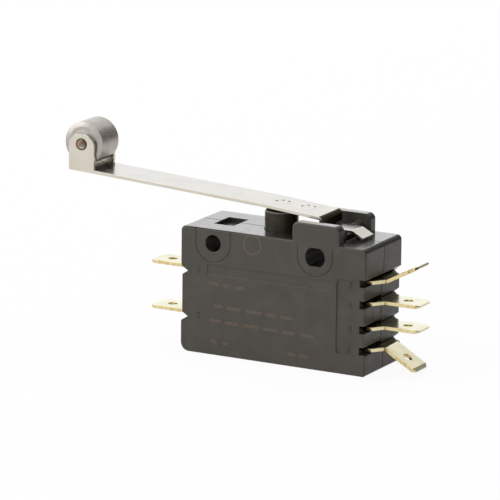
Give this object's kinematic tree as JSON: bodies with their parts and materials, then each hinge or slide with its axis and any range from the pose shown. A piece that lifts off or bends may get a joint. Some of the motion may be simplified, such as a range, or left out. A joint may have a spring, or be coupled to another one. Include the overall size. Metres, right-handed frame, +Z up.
{
  "type": "micro switch with roller lever",
  "caption": "Double-pole snap-action micro switch: black moulded case, brass push-on tabs at both ends and a long pivoted lever with a roller that presses the plunger.",
  "frame": {"origin": "middle of the case's flat bottom face", "axes": "+X along the case towards the four contact tabs, with the roller at -X; +Y through the case towards its rear half; +Z up towards the lever"},
  "size_m": [0.0889, 0.0174, 0.0478],
  "materials": {
    "case_phenolic": "satin",
    "plunger_black": "gloss",
    "pin_steel": "satin",
    "lever_steel": "polished",
    "roller_metal": "satin",
    "pin_brass": "polished",
    "tab_brass": "polished",
    "contact_silver": "polished",
    "spring_copper": "satin"
  },
  "bodies": {
    "case": {"case_front": "case_phenolic", "case_rear": "case_phenolic", "closed_terminal_upper": "tab_brass", "open_terminal_upper": "tab_brass", "common_terminal_upper": "tab_brass", "closed_contact_upper": "contact_silver", "open_contact_upper": "contact_silver", "snap_spring_upper": "spring_copper", "closed_terminal_lower": "tab_brass", "open_terminal_lower": "tab_brass", "common_terminal_lower": "tab_brass", "closed_contact_lower": "contact_silver", "open_contact_lower": "contact_silver", "snap_spring_lower": "spring_copper", "pivot_pin": "pin_steel"},
    "lever": {"lever_strip": "lever_steel", "lever_base": "lever_steel", "lever_rivets": "lever_steel", "roller_pin": "pin_brass"},
    "roller": {"roller": "roller_metal"},
    "plunger": {"plunger": "plunger_black"},
    "contact_arm_upper": {"contact_arm_upper": "spring_copper", "moving_contact_upper": "contact_silver"},
    "contact_arm_lower": {"contact_arm_lower": "spring_copper", "moving_contact_lower": "contact_silver"}
  },
  "joints": [
    {"name": "lever_hinge", "type": "hinge", "parent": "case", "child": "lever", "pos_m": [0.0136, 0, 0.02945], "axis": [0, -1, 0], "range_deg": [0, 6.8], "stiffness_Nm_per_rad": 0.12, "springref_deg": -14.32},
    {"name": "roller_spin", "type": "hinge", "parent": "lever", "child": "roller", "pos_m": [-0.05085, 0, 0.04295], "axis": [0, 1, 0], "continuous": true},
    {"name": "plunger_slide", "type": "slide", "parent": "case", "child": "plunger", "axis": [0, 0, -1], "range_m": [0, 0.0019], "deforming": ["snap_spring_upper", "snap_spring_lower"]},
    {"name": "arm_upper_hinge", "type": "hinge", "parent": "case", "child": "contact_arm_upper", "pos_m": [-0.0126, 0, 0.0188], "axis": [0, 1, 0], "range_deg": [0, 2.1]},
    {"name": "arm_lower_hinge", "type": "hinge", "parent": "case", "child": "contact_arm_lower", "pos_m": [-0.0126, 0, 0.0084], "axis": [0, 1, 0], "range_deg": [0, 2.1]}
  ],
  "couplings": [
    {"joint": "plunger_slide", "follows": "lever_hinge", "m_per_rad": 0.01583},
    {"joint": "arm_upper_hinge", "follows": "lever_hinge", "ratio": 0.3},
    {"joint": "arm_lower_hinge", "follows": "lever_hinge", "ratio": 0.3}
  ]
}
